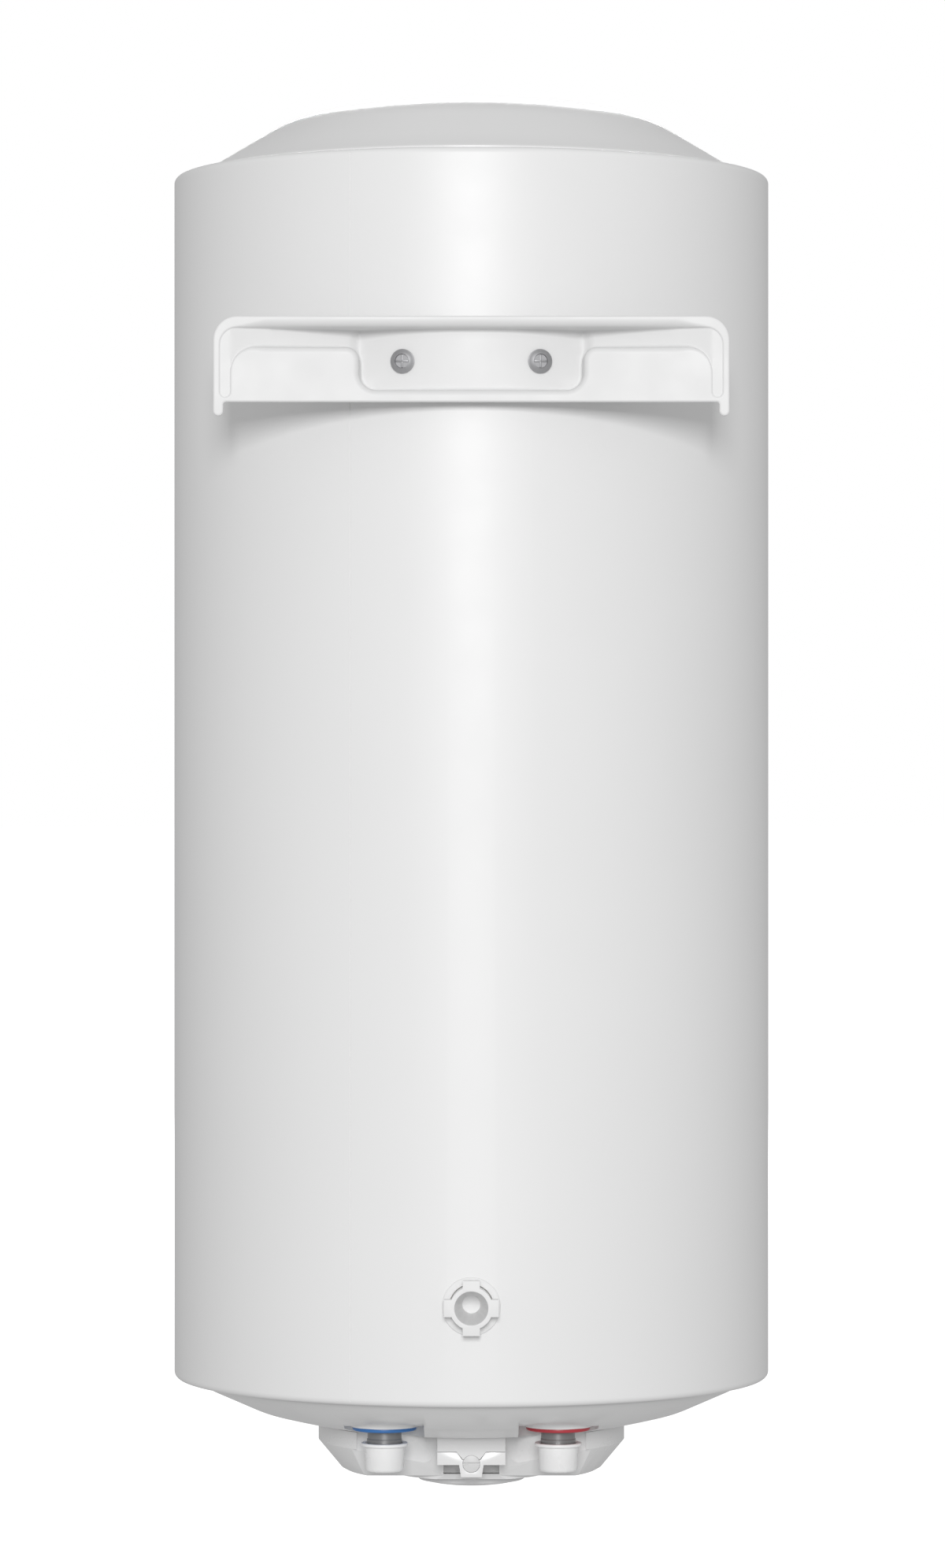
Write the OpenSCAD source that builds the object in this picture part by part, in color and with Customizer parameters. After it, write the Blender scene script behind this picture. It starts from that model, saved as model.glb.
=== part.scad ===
// Slim wall-hung electric storage water heater, seen at its best from the wall side.
// A welded steel tank stands in foam inside a painted sheet casing with two moulded
// domes, and hangs on a pressed bracket. The electrics sit under the lower dome,
// behind a screwed cover, and the two water pipes come out beside that cover.
// Frame: +Z up, +Y towards the wall, origin on the wall plane at the middle of the
// bracket's bottom strip.

/* [Casing] */
// Outside diameter of the painted casing
casing_d = 365; // [360:1:372]
// Height of the bottom rolled edge of the casing
casing_bottom = -589.3; // [-590:0.1:-588.5]
// Height of the top rolled edge of the casing
casing_top = 146.4; // [140:0.1:200]
// Thickness of the casing sheet
casing_t = 0.8; // [0.6:0.1:1.2]
// Radius of the rolled casing edges
curl_r = 4; // [2:0.5:5]
// Gap between the casing and the wall
wall_gap = 13; // [12.5:0.5:16]

/* [Domes] */
// Wall thickness of both moulded domes
dome_t = 2.5; // [2:0.1:3]
// Outside radius of the neck where a dome comes through the casing edge
neck_r = 165; // [163:0.5:168]
// Rise of the top dome above the casing edge
top_rise = 46.4; // [44:0.1:48]
// Drop of the bottom dome's full curve below the casing edge
bottom_drop = 36.4; // [35:0.1:38]
// Drop of the flat seat on the bottom dome below the casing edge
seat_drop = 28.3; // [27.5:0.1:29]

/* [Tank] */
// Outside diameter of the inner tank
tank_d = 310; // [300:1:316]
// Thickness of the tank sheet
tank_t = 2; // [1.5:0.1:3]
// Height of the lower end of the straight barrel
barrel_bottom = -526; // [-528:1:-520]
// Height of the upper end of the straight barrel
barrel_top = 100; // [80:1:102]
// Depth of each dished tank end
dish_h = 42; // [38:1:44]

/* [Pipes] */
// Distance between the two pipe centres
pipe_gap = 104; // [100:1:106]
// Distance of the pipes from the tank axis towards the wall
pipe_back = 92; // [91:0.5:94]
// Thread diameter of a half-inch parallel pipe thread
pipe_d = 20.955; // [20.9:0.005:21.1]
// Bore of the water pipes
pipe_bore = 16.2; // [15:0.1:16.4]
// Height of the open lower end of the pipes
pipe_bottom = -635.6; // [-636:0.1:-635]
// Length of the threaded end of each pipe
thread_length = 18; // [16:0.5:18]

/* [Electrical cover] */
// Outside radius of the cover's round wall
cover_r = 94; // [93:0.5:95]
// Wall thickness of the cover
cover_t = 2.5; // [2:0.1:3]
// Height where the upright wall turns into the sloping skirt
cover_knee = -627.5; // [-628:0.1:-627]
// Height of the cover's flat bottom
cover_floor = -645.5; // [-646.5:0.1:-645]
// Distance of the flat rear facet from the axis at the knee
facet_back = 60; // [59:0.5:61]
// Half width of the rear screw block
block_half = 20.5; // [20:0.1:21]
// Distance of the screw block's rear face from the axis
block_back = 75; // [74:0.5:76]

/* [Knob] */
// Radius of the temperature knob
knob_r = 33; // [30:0.5:34]
// Height of the knob's lowest point
knob_bottom = -655.5; // [-656.5:0.1:-655.4]

/* [Bracket] */
// Width of the wall bracket
bracket_w = 300; // [299:1:301]
// Height of the bracket's top edge
bracket_top = 46.3; // [46:0.1:47]
// Thickness of the bracket sheet
bracket_t = 2.5; // [2.3:0.1:2.6]
// Distance between the two fixing screws
screw_gap = 80; // [78:1:84]
// Height of the fixing screws
screw_z = 21; // [20:0.5:22]

/* [Rear spacer] */
// Height of the adjustable rear spacer
spacer_z = -530; // [-535:1:-500]
// Width of the spacer across two opposite wings
wing_span = 32; // [30:0.5:33]

/* [Hidden] */
$fn = 96;

casing_r = casing_d / 2;
axis_back = wall_gap + casing_r;      // the tank axis stands this far from the wall
tank_r = tank_d / 2;
gap = 0.1;                            // room left between parts that nest
curve_n = 14;                         // straight steps along each dome curve
dome_edge_r = neck_r - 3.5;           // where the neck's bevel meets the dome's flank
pipe_r = pipe_d / 2;
pipe_body_r = pipe_r - 0.3;           // plain pipe above the thread
pipe_x = pipe_gap / 2;
pad_r = 24;                           // flat pad round each pipe on the bottom dome
pad_z = casing_bottom - 20.6;
collar_bottom = pad_z - 2.3;
collar_r = 19.2;
boss_r = collar_r + 1.2;              // raised seat of the collar
run_out_tilt = 9.1;                   // rise of the recess floor towards the wall
seat_z = casing_bottom - seat_drop;
plate_z = -598;                       // top face of the flange plate
plate_t = 6;
plate_r = 50;
access_r = 54;                        // hole in the bottom dome under the flange
skirt_rate = 15 / 18;                 // how fast the skirt runs in as it goes down
plinth_r = 48;
plinth_bottom = -648;
block_seam = cover_knee - 0.1;
block_bottom = -635.5;
tab_bottom = -642.9;
tab_half = 7;
slot_half = 16.9;
cover_screw_z = -634.9;
screw_head_r = 7.1;
wing_z = 28.5;                        // top of the bracket's two wing plates
tongue_half = 65;
spindle_r = 3;
lamp_y = -66;
gland_at = [46, -46];
spacer_r = 12.5;

// ---------- shared outlines ----------

function arc_pts(c, r, a0, a1, n) =
    [for (i = [0:n]) let (a = a0 + (a1 - a0) * i / n) c + r * [cos(a), sin(a)]];
function reversed(pts) = [for (i = [len(pts) - 1:-1:0]) pts[i]];
function upside_down(pts) = [for (p = pts) [p[0], -p[1]]];
function shift_z(pts, z) = [for (p = pts) [p[0], p[1] + z]];

// Dome half-profile from its edge to its apex: a straight flank, a blend and a round crown.
function dome_curve(edge, slope, apex, crown_r, blend_r) =
    let (along = [-cos(slope), sin(slope)],
         inward = [-sin(slope), -cos(slope)],
         crown_c = [0, apex - crown_r],
         p = edge + blend_r * inward - crown_c,
         half_b = p * along,
         off = p * p - pow(crown_r - blend_r, 2),
         root = sqrt(half_b * half_b - off),
         t = -half_b - root > 0 ? -half_b - root : -half_b + root,
         blend_c = edge + t * along + blend_r * inward,
         v = blend_c - crown_c,
         turn = atan2(v[1], v[0]))
    concat([edge],
        arc_pts(blend_c, blend_r, 90 - slope, turn, curve_n),
        [for (i = [1:curve_n]) let (a = turn + (90 - turn) * i / curve_n)
            crown_c + crown_r * [cos(a), sin(a)]]);

// The same dome drawn in by t, measured from the casing edge.
function top_dome(t) = let (s = 31.13)
    dome_curve([dome_edge_r - t * sin(s), 4.27 - t * cos(s)], s,
        top_rise - t, 522.8 - t, 87 - t);
function bottom_dome(t) = let (s = 24.08)
    dome_curve([dome_edge_r - t * sin(s), 5.76 - t * cos(s)], s,
        bottom_drop - t, 507.3 - t, 60.65 - t);
// The bottom dome ends in a flat seat.
function seated_dome(t) = [for (p = bottom_dome(t)) [p[0], min(p[1], seat_drop - t)]];

module at_axis() translate([0, -axis_back, 0]) children();
module at_pipe(side) translate([side * pipe_x, pipe_back, 0]) children();
module ring(r_in, r_out, z0, z1) translate([0, 0, z0]) difference() {
    cylinder(r = r_out, h = z1 - z0);
    translate([0, 0, -1]) cylinder(r = r_in, h = z1 - z0 + 2);
}
module rod(r, z0, z1) translate([0, 0, z0]) cylinder(r = r, h = z1 - z0);
module box(x0, x1, y0, y1, z0, z1) translate([x0, y0, z0]) cube([x1 - x0, y1 - y0, z1 - z0]);
// A cylinder lying along Y, from y0 to y1.
module rod_y(r, y0, y1) translate([0, y1, 0]) rotate([90, 0, 0]) cylinder(r = r, h = y1 - y0);
// A round wire through a list of points: one tube with a ring of corners at each point.
wire_sides = 8;
function unit(v) = v / norm(v);
function heading(pts, i) = unit(pts[min(i + 1, len(pts) - 1)] - pts[max(i - 1, 0)]);
module wire(pts, r) {
    n = len(pts);
    rings = [for (i = [0:n - 1]) let (d = heading(pts, i),
            u = unit(cross(d, abs(d[2]) > 0.8 ? [1, 0, 0] : [0, 0, 1])), v = cross(d, u))
        for (k = [0:wire_sides - 1]) let (a = 360 * k / wire_sides) pts[i] + r * (cos(a) * u + sin(a) * v)];
    walls = [for (i = [0:n - 2]) for (k = [0:wire_sides - 1]) let (m = (k + 1) % wire_sides)
        [i * wire_sides + k, (i + 1) * wire_sides + k, (i + 1) * wire_sides + m, i * wire_sides + m]];
    polyhedron(rings, concat([[for (k = [0:wire_sides - 1]) k]], walls,
        [[for (k = [wire_sides - 1:-1:0]) (n - 1) * wire_sides + k]]));
}
module bottom_dome_solid(t) rotate_extrude()
    polygon(concat([[0, casing_bottom + 20], [dome_edge_r - t * 0.4, casing_bottom + 20]],
        shift_z(upside_down(seated_dome(t)), casing_bottom)));

// ---------- casing, domes and foam ----------

module outer_casing() color("white") at_axis() {
    half = concat(arc_pts([casing_r - curl_r, casing_top - curl_r], curl_r, 90, 0, 6),
        arc_pts([casing_r - curl_r, casing_bottom + curl_r], curl_r, 0, -90, 6));
    inner_r = curl_r - casing_t;
    inner = concat(arc_pts([casing_r - curl_r, casing_bottom + curl_r], inner_r, -90, 0, 6),
        arc_pts([casing_r - curl_r, casing_top - curl_r], inner_r, 0, 90, 6));
    lip_r = neck_r + gap;
    difference() {
        rotate_extrude($fn = 180) polygon(concat([[lip_r, casing_top]], half,
            [[lip_r, casing_bottom], [lip_r, casing_bottom + casing_t]], inner,
            [[lip_r, casing_top - casing_t]]));
        for (side = [-1, 1]) translate([side * screw_gap / 2, 0, screw_z]) rod_y(4.6, 120, 200);
        translate([0, 0, spacer_z]) rod_y(spacer_r + 1.1, 150, 200);
    }
}

// Ring flange, neck and dome of a moulded end, edge plane at zero.
function moulded_end(outer, inner) = concat(
    [[casing_r - 4, -3.4], [casing_r - 4, -0.9], [neck_r, -0.9], [neck_r, 2.6]], outer,
    reversed(inner), [[inner[0][0] + 0.9, -3.4]]);

module top_cover() color("white") at_axis() {
    translate([0, 0, casing_top]) rotate_extrude($fn = 180)
        polygon(moulded_end(top_dome(0), top_dome(dome_t)));
    rod(7.75, casing_top + top_rise - 1, casing_top + top_rise + 0.7);
}

// The recess is round on the tank's side of the pipe and runs out straight to the wall side.
module pipe_recess(r, z0, z1) {
    rod(r, z0, z1);
    box(-r, r, 0, 60, z0, z1);
}

// Rising floor of the recess between its mouth and the seat of the collar.
module recess_run_out() difference() {
    translate([-pad_r, 0, 0]) rotate([90, 0, 90]) linear_extrude(2 * pad_r)
        polygon([[0, -640], [62, -640], [62, pad_z + 60 * tan(run_out_tilt)], [2, pad_z], [0, pad_z]]);
    rod(boss_r, pad_z, pad_z + 12);
}

module bottom_cover() color("white") at_axis() {
    difference() {
        union() {
            translate([0, 0, casing_bottom]) rotate_extrude($fn = 180)
                polygon(upside_down(moulded_end(seated_dome(0), seated_dome(dome_t))));
            // walls and floor of the recess round each pipe
            intersection() {
                bottom_dome_solid(0);
                for (side = [-1, 1]) at_pipe(side) pipe_recess(pad_r + dome_t, seat_z - 1, pad_z + 9.5);
            }
            // upper half of the screw block, with its pointed nib
            box(-block_half, block_half, facet_back - 4, block_back, block_seam, seat_z + 1);
            translate([0, block_back, 0]) rotate([90, 0, 0]) linear_extrude(2.5)
                polygon([[-9.2, block_seam + 0.5], [9.2, block_seam + 0.5], [5.2, block_seam - 4.5],
                    [-5.2, block_seam - 4.5]]);
            // post that takes the cover screw
            box(-5.5, 5.5, facet_back - 4, 67, cover_screw_z - 4.6, seat_z + 1);
        }
        for (side = [-1, 1]) at_pipe(side) {
            rod(pad_r, -640, pad_z);
            recess_run_out();
            rod(pipe_r + 0.4, -640, -580);
        }
        rod(access_r, -640, -580);
        translate([0, 0, cover_screw_z]) rod_y(5.3, 71.9, 80);
        translate([0, 0, cover_screw_z]) rod_y(1.9, 50, 80);
    }
}

module foam_insulation() color("khaki") at_axis() difference() {
    well_steps = 10;
    cavity_r = tank_r + gap;
    cavity_h = dish_h + gap;
    well_r = cavity_r * cos(90 * well_steps / curve_n);
    below = [for (i = [0:well_steps]) let (a = 90 * i / curve_n)
        [cavity_r * cos(a), barrel_bottom - cavity_h * sin(a)]];
    rotate_extrude() polygon(concat(
        [[well_r, casing_bottom + 4.5], [casing_r - 5, casing_bottom + 4.5],
            [casing_r - 1, casing_bottom + 8], [casing_r - 1, casing_top - 8],
            [casing_r - 5, casing_top - 4.5], [dome_edge_r - 2.9, casing_top - 4.5]],
        shift_z(top_dome(dome_t + 0.5), casing_top - 1),
        reversed(dish(cavity_r, cavity_h, barrel_top, 1)),
        below));
    for (side = [-1, 1]) at_pipe(side) rod(pipe_body_r + gap, -600, barrel_bottom);
    for (side = [-1, 1]) translate([side * screw_gap / 2, 0, screw_z]) rod_y(9.1, 100, 200);
    translate([0, 0, spacer_z]) rod_y(17.1, 100, 200);
}

// ---------- tank ----------

function dish(r, h, z, dir) = [for (i = [0:curve_n]) let (a = 90 * i / curve_n)
    [r * cos(a), z + dir * h * sin(a)]];

module tank_end(z, dir) rotate_extrude() polygon(concat(dish(tank_r, dish_h, z, dir),
    reversed(dish(tank_r - tank_t, dish_h - tank_t, z, dir))));

module tank_barrel() color("steelblue") at_axis() ring(tank_r - tank_t, tank_r, barrel_bottom, barrel_top);

module tank_top_end() color("steelblue") at_axis() tank_end(barrel_top, 1);

module tank_bottom_end() color("steelblue") at_axis() difference() {
    tank_end(barrel_bottom, -1);
    rod(plate_r + 0.1, -600, barrel_bottom);
    for (side = [-1, 1]) at_pipe(side) rod(pipe_body_r + 0.05, -600, barrel_bottom);
}

module flange_neck() color("slategray") at_axis() ring(36, plate_r, plate_z + 3, -562);

module flange_gasket() color("black") at_axis() ring(36, plate_r - 2, plate_z, plate_z + 3);

stud_count = 6;
stud_circle_r = 43;
module at_studs() for (i = [0:stud_count - 1])
    rotate([0, 0, (i + 0.5) * 360 / stud_count]) translate([stud_circle_r, 0, 0]) children();

module flange_plate() color("silver") at_axis() difference() {
    rod(plate_r, plate_z - plate_t, plate_z);
    at_studs() rod(4.3, plate_z - plate_t - 1, plate_z + 1);
    for (side = [-1, 1]) for (y = [-10, 10]) translate([side * 20, y, 0])
        rod(4.3, plate_z - plate_t - 1, plate_z + 1);
    translate([0, 24, 0]) rod(4.1, plate_z - plate_t - 1, plate_z + 1);
    translate([0, -24, 0]) rod(5.1, plate_z - plate_t - 1, plate_z + 1);
}

module flange_studs() color("silver") at_axis() at_studs() rod(3.95, -614, plate_z);

module flange_nuts() color("silver") at_axis() at_studs() difference() {
    translate([0, 0, -610.5]) cylinder(r = 7.3, h = 6.5, $fn = 6);
    rod(3.95, -611, -603);
}

// ---------- water pipes ----------

module water_pipe(side, top) at_axis() at_pipe(side) difference() {
    thread_top = pipe_bottom + thread_length;
    union() {
        rod(pipe_r, pipe_bottom, thread_top);
        rod(pipe_body_r, thread_top, top);
    }
    rod(pipe_bore / 2, pipe_bottom - 1, top + 1);
}

inlet_top = -536;

module cold_inlet_pipe() color("dimgray") water_pipe(1, inlet_top);

module inlet_diffuser() color("ivory") at_axis() at_pipe(1) difference() {
    rod(14, inlet_top - 12, inlet_top + 20);
    rod(pipe_body_r + 0.02, inlet_top - 13, inlet_top);
    rod(9, inlet_top - 1, inlet_top + 16);
    for (a = [0:45:315]) rotate([0, 0, a]) translate([0, 0, inlet_top + 8]) rotate([0, 90, 0])
        cylinder(r = 2.5, h = 20);
}

module hot_outlet_pipe() color("dimgray") water_pipe(-1, 118);

module pipe_collar(side) at_axis() at_pipe(side) ring(pipe_r + 0.2, collar_r, collar_bottom, pad_z);
module cold_collar() color("steelblue") pipe_collar(1);
module hot_collar() color("indianred") pipe_collar(-1);

// Push-on transport cap: flange, thin cup and an inner spigot that grips the bore.
module thread_cap(side) at_axis() at_pipe(side) rotate_extrude() polygon([
    [0, -637], [10.6, -637], [11.6, -636.5], [11.95, -635.4], [11.95, -621.8], [14.1, -621.8],
    [14.1, -619.8], [11.4, -619.8], [11.4, -635.8], [8, -635.8], [8, -629], [7, -629],
    [7, -635.8], [0, -635.8]]);
module cold_thread_cap() color("white") thread_cap(1);
module hot_thread_cap() color("white") thread_cap(-1);

// ---------- flange fittings ----------

// Two hairpin tubes side by side, each with both legs through the plate.
module heating_element() color("silver") at_axis() for (side = [-1, 1]) translate([side * 20, 0, 0]) {
    for (y = [-10, 10]) translate([0, y, 0]) rod(4.2, plate_z - plate_t - 6, -300);
    translate([0, 0, -300]) rotate([90, 0, 90]) rotate_extrude(angle = 180)
        translate([10, 0]) circle(r = 4.2);
}

module element_terminals() color("goldenrod") at_axis() for (side = [-1, 1]) for (y = [-10, 10])
    translate([side * 20, y, 0]) {
        rod(2, -619, plate_z - plate_t - 6);
        box(-3.2, 3.2, -0.4, 0.4, -624, -618.5);
    }

module anode_rod() color("gray") at_axis() translate([0, -24, 0]) {
    rod(10.5, -585, -250);
    rod(3.9, -618, -585);
}

module anode_nut() color("silver") at_axis() translate([0, -24, 0]) difference() {
    translate([0, 0, -610.5]) cylinder(r = 7.3, h = 6.5, $fn = 6);
    rod(3.9, -611, -603);
}

module sensor_pocket() color("silver") at_axis() translate([0, 24, 0]) difference() {
    union() {
        rod(4, -608, -330);
        ring(3.9, 6.5, -608, plate_z - plate_t);
    }
    rod(3.1, -609, -333);
}

module capillary_tube() color("peru") at_axis() union() {
    translate([0, 24, 0]) rod(2.9, -440, -340);
    wire([[0, 24, -441], [0, 24, -616], [0, 21, -618], [0, 15.5, -618]], 0.9);
}

module thermostat_bracket() color("silver") at_axis() difference() {
    union() {
        for (side = [0, 1]) mirror([side, 0, 0]) box(24.5, 26, -8, 8, -638, plate_z - plate_t);
        box(-26, 26, -8, 8, -639.5, -638);
    }
    rod(spindle_r + 0.6, -641, -636);
}

module thermostat_body() color("gainsboro") at_axis() difference() {
    box(-15, 15, -15, 15, -637.8, -614);
    rod(spindle_r + 0.08, -640, -622);
}

module thermal_cutout() color("beige") at_axis() difference() {
    box(31, 50, -15, 15, -630, -612);
    translate([42, 0, 0]) rod(2.6, -631, -620);
}

module reset_button() color("red") at_axis() translate([42, 0, 0]) rod(2.52, -634, -623);

block_top = seat_z - 0.1;
module terminal_block() color("white") at_axis() difference() {
    box(-58, -32, -24, 24, block_top - 18, block_top);
    for (y = [-16, 0, 16]) translate([-45, y, 0]) rod(3.2, block_top - 19, block_top - 8);
}

module earth_stud() color("goldenrod") at_axis() translate([-22, 36, 0]) union() {
    rod(2.9, -619.5, plate_z - plate_t);
    translate([0, 0, -609]) cylinder(r = 5.6, h = 4, $fn = 6);
}

lead_r = 1.3;
module live_lead() color("saddlebrown") at_axis() union() {
    wire([[-31.9, -16, -630], [-27, -16, -630], [-23, -22, -630], [-14, -24, -630],
        [-8, -20, -630], [-8, -15.1, -630]], lead_r);
    wire([[8, 15.1, -626], [8, 19, -626], [14, 23, -626], [28, 23, -626], [38, 22, -626],
        [40, 19, -626], [40, 15.1, -626]], lead_r);
}

module neutral_lead() color("royalblue") at_axis()
    wire([[-31.9, 16, -630], [-28, 16, -630], [-22, 13, -630], [-20, 10.5, -629], [-20, 10, -627],
        [-20, 10, -624.1]], lead_r);

module earth_lead() color("yellowgreen") at_axis()
    wire([[-31.9, 0, -630], [-29.6, 0, -630], [-29, 4, -629], [-29, 12, -626], [-29, 24, -621],
        [-28.5, 33, -617.8], [-27, 36, -617.5], [-24.95, 36, -617.5]], lead_r);

// ---------- electrical cover ----------

// Solid form of the cover, drawn in by t on every side.
module cover_form(t) {
    half_x = block_half - t;
    lean = t * sqrt(1 + skirt_rate * skirt_rate);
    function facet_y(z) = facet_back + (z - cover_knee) * skirt_rate - lean;
    function skirt_r(z) = cover_r + (z - cover_knee) * skirt_rate - lean;
    knee = cover_knee + (lean - t) / skirt_rate;
    difference() {
        union() {
            rotate_extrude($fn = 180) polygon([[0, -606], [cover_r - t, -606], [cover_r - t, knee],
                [skirt_r(cover_floor + t + 1.5), cover_floor + t + 1.5],
                [skirt_r(cover_floor + t) - 1.5, cover_floor + t], [0, cover_floor + t]]);
            rod(plinth_r - t, plinth_bottom + t, cover_floor + 10);
        }
        // sloping rear facet
        translate([-100, 0, 0]) rotate([90, 0, 90]) linear_extrude(200)
            polygon([[facet_y(cover_knee + t), cover_knee + t], [120, cover_knee + t], [120, -700],
                [facet_y(-700), -700]]);
        // hollow behind each pipe
        for (side = [0, 1]) mirror([side, 0, 0]) translate([0, 0, -700]) linear_extrude(110)
            polygon(concat([[69.3 + t, 120], [69.3 + t, facet_back - 0.6 - t]],
                reversed(arc_pts([block_half + 10 - t, 62 - t], 10, 180, 259, 6)), [[block_half - t, 120]]));
        box(-block_half, block_half, facet_back - 4.3 - t, 120, -700, -590);
    }
    box(-half_x, half_x, 40, block_back - t, block_bottom + t, block_seam - 0.3 + (t > 0 ? 1 : 0));
}

module electrical_cover() color("white") at_axis() difference() {
    union() {
        difference() {
            cover_form(0);
            cover_form(cover_t);
            box(-block_half + cover_t, block_half - cover_t, 40, block_back - cover_t,
                block_bottom + cover_t, block_seam);
            // open face under the tab
            box(-slot_half, slot_half, 40, 62, cover_floor + 1, block_bottom);
            // everything behind the upper half of the block belongs to the dome
            box(-block_half - 0.1, block_half + 0.1, facet_back - 4.3, 80, block_seam - 0.3, -600);
            bottom_dome_solid(-0.2);
        }
        // closed pocket behind that face
        difference() {
            box(-slot_half - 1.6, slot_half + 1.6, 38.4, 46, cover_floor + 1, block_bottom + 1.6);
            box(-slot_half, slot_half, 40, 62, cover_floor, block_bottom);
        }
        translate([0, block_back, 0]) rotate([90, 0, 0]) linear_extrude(5)
            polygon([[-tab_half - 0.4, block_bottom + 0.1], [tab_half + 0.4, block_bottom + 0.1],
                [tab_half - 0.8, tab_bottom], [-tab_half + 0.8, tab_bottom]]);
    }
    // notch for the nib, counterbore and hole for the screw
    translate([0, block_back + 1, 0]) rotate([90, 0, 0]) linear_extrude(4)
        polygon([[-9.6, block_seam + 1], [9.6, block_seam + 1], [5.5, block_seam - 4.8],
            [-5.5, block_seam - 4.8]]);
    translate([0, 0, cover_screw_z]) rod_y(5.3, 71.9, 80);
    translate([0, 0, cover_screw_z]) rod_y(2.4, 66.5, 80);
    // room for the post
    box(-5.8, 5.8, 40, 67.3, cover_screw_z - 4.9, block_bottom + cover_t + 1);
    rod(8.6, -660, -640);
    translate([0, lamp_y, 0]) rod(5.6, -660, -640);
    translate([gland_at[0], gland_at[1], 0]) rod(8.1, -660, -640);
}

module cover_screw() color("silver") at_axis() translate([0, 0, cover_screw_z]) difference() {
    union() {
        rod_y(5.1, 72, 74.4);
        rod_y(1.85, 55, 72);
    }
    box(-6, 6, 73.2, 75, -0.7, 0.7);
}

module pilot_lamp() color("orangered") at_axis() translate([0, lamp_y, 0]) rotate_extrude()
    polygon(concat([[0, -640], [5.5, -640], [5.5, -645.6]],
        reversed(arc_pts([0, -640.6], 7.4, -90, -45, 5))));

module lamp_holder() color("ivory") at_axis() translate([0, lamp_y, 0]) difference() {
    rod(7.5, -642.8, -628);
    rod(5.6, -643, -636);
}

// The mains lead enters here: a flanged body through the cover, a nut inside.
module cable_gland() color("lightgray") at_axis() translate([gland_at[0], gland_at[1], 0]) difference() {
    union() {
        rod(8, -651, -634);
        ring(7.9, 10.5, -649.5, -645.6);
        translate([0, 0, -642.9]) cylinder(r = 11, h = 4, $fn = 6);
    }
    rod(4.2, -652, -630);
}

// Low round knob with a finger bar left between two dished hollows.
module temperature_knob() color("white") at_axis() difference() {
    union() {
        translate([0, 0, knob_bottom]) rotate_extrude() polygon([[0, 0], [12, 0.1], [19, 0.6], [26, 1.7],
            [knob_r - 0.8, 3.1], [knob_r, 3.9], [knob_r, 7.1], [0, 7.1]]);
        rod(8, knob_bottom + 7, -641);
    }
    rod(spindle_r + 0.02, knob_bottom + 3.1, -640);
    for (side = [-1, 1]) intersection() {
        translate([side * 33, 0, knob_bottom - 22]) sphere(r = 33.2, $fn = 96);
        box(side > 0 ? 5 : -28, side > 0 ? 28 : -5, -24, 24, knob_bottom - 1, knob_bottom + 2.6);
    }
}

module knob_spindle() color("silver") at_axis() rod(spindle_r, knob_bottom + 4.1, -624);

// ---------- bracket ----------

module corner_fill(x, z, size, r) difference() {
    translate([x, z]) square(size);
    translate([x, z]) circle(r = r);
}

// Outline of the pressed recess: a band, two end legs and a central tongue, grown by g.
module recess_outline(g) {
    band_top = 38.5 + g;
    for (side = [0, 1]) mirror([side, 0]) {
        difference() {
            translate([-0.1, wing_z - g]) square([146.1 + g, band_top - wing_z + g]);
            translate([136, band_top - 10 - g]) corner_fill(0, 0, 11 + 2 * g, 10 + g);
        }
        translate([140 - g, 2.2]) square([6 + 2 * g, wing_z]);
        translate([143, 2.2]) circle(r = 3 + g);
        translate([-0.1, 13.5]) square([tongue_half + 0.1 + g, 20]);
        translate([-0.1, 3.5 - g]) square([tongue_half - 9.9, 20]);
        translate([tongue_half - 10, 13.5]) circle(r = 10 + g);
        // rounded corners of the wing plate
        translate([0, wing_z]) mirror([0, 1]) {
            translate([tongue_half, 0]) difference() {
                square(8);
                translate([8, 8]) circle(r = 8 - g);
            }
            translate([125, 0]) difference() {
                square(15);
                translate([0, 15]) circle(r = 15 - g);
            }
        }
    }
}

// Plan of the space in front of the pressed floor, pushed back by t.
module floor_plan(t) {
    r = casing_r + 0.1 + bracket_t - t;
    side = concat([[160, 2], [160, -0.6 - t], [140, -0.6 - t], [70, -19 - t]],
        [for (i = [0:8]) let (x = (tongue_half + (t > 0 ? 1 : 0)) * (8 - i) / 8)
            [x, sqrt(r * r - x * x) - axis_back]]);
    polygon(concat(side, reversed([for (p = side) [-p[0], p[1]]])));
}

module upright(depth) rotate([90, 0, 0]) linear_extrude(depth) children();

module plate_outline() for (side = [0, 1]) mirror([side, 0]) {
    translate([-0.1, -3.75]) square([bracket_w / 2 - 13.9, bracket_top + 3.75]);
    translate([-0.1, -3.75]) square([bracket_w / 2 + 0.1, bracket_top - 10.25]);
    translate([bracket_w / 2 - 14, bracket_top - 14]) circle(r = 14);
    translate([bracket_w / 2 - 6, -8.8]) square([6, 10]);
    translate([bracket_w / 2 - 3, -8.8]) circle(r = 3);
}

module wall_bracket() color("white") difference() {
    union() {
        upright(bracket_t) plate_outline();
        intersection() {
            upright(40) recess_outline(bracket_t);
            translate([0, 0, -20]) linear_extrude(80) floor_plan(bracket_t);
        }
        // top flange that reaches back to the casing
        difference() {
            box(-134, 134, -14.5, -1, bracket_top - bracket_t, bracket_top);
            at_axis() rod(casing_r + 0.1, 0, 80);
        }
        // turned-back ends
        for (side = [-1, 1]) translate([side * (bracket_w / 2 - bracket_t / 2), 0, 0])
            box(-bracket_t / 2, bracket_t / 2, -12, -1, -3.75, bracket_top - 14);
    }
    intersection() {
        translate([0, 1, 0]) upright(41) recess_outline(0);
        translate([0, 0, -20]) linear_extrude(80) floor_plan(0);
    }
    for (side = [-1, 1]) translate([side * screw_gap / 2, 0, screw_z]) rod_y(4.5, -60, 5);
}

head_y = sqrt(pow(casing_r + bracket_t + 0.1, 2) - pow(screw_gap / 2 - screw_head_r, 2)) + 0.05;

module at_screws() for (side = [-1, 1]) translate([side * screw_gap / 2, 0, screw_z]) children();

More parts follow.
